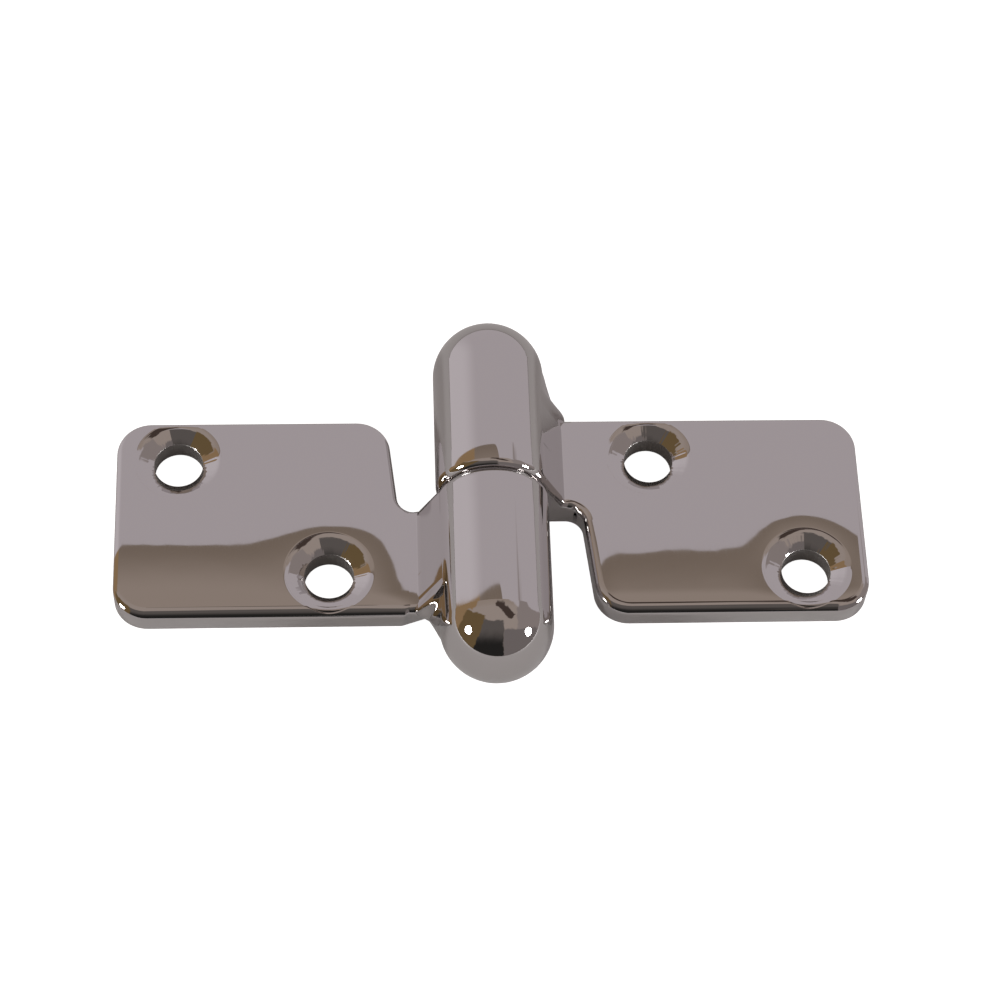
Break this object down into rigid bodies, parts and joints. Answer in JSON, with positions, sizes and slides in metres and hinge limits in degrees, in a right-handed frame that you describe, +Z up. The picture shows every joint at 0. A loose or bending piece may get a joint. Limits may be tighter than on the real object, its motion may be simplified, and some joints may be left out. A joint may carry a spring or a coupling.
{
  "type": "lift-off hinge",
  "caption": "Polished cast lift-off hinge: two notched leaves with countersunk screw holes on one round-ended barrel; the socket leaf turns on a fixed pin and lifts off along it.",
  "frame": {"origin": "on the mounting plane, under the middle of the barrel", "axes": "+X across the open leaves towards the socket leaf, +Y along the barrel the way the socket leaf lifts off, +Z up from the mounting plane through the visible faces"},
  "size_m": [0.092, 0.0484, 0.0141],
  "materials": {
    "polished_casting": "mirror-polished cast stainless steel",
    "ground_pin": "ground stainless steel",
    "washer_steel": "rolled stainless sheet, stamped"
  },
  "bodies": {
    "pin_side": {"pin_leaf": "polished_casting", "hinge_pin": "ground_pin"},
    "washer": {"thrust_washer": "washer_steel"},
    "socket_side": {"socket_leaf": "polished_casting"}
  },
  "joints": [
    {"name": "leaf_turn", "type": "hinge", "parent": "pin_side", "child": "washer", "pos_m": [0, 0, 0.00725], "axis": [0, -1, 0], "range_deg": [-90, 180]},
    {"name": "lift_off", "type": "slide", "parent": "washer", "child": "socket_side", "axis": [0, 1, 0], "range_m": [0, 0.02]}
  ]
}
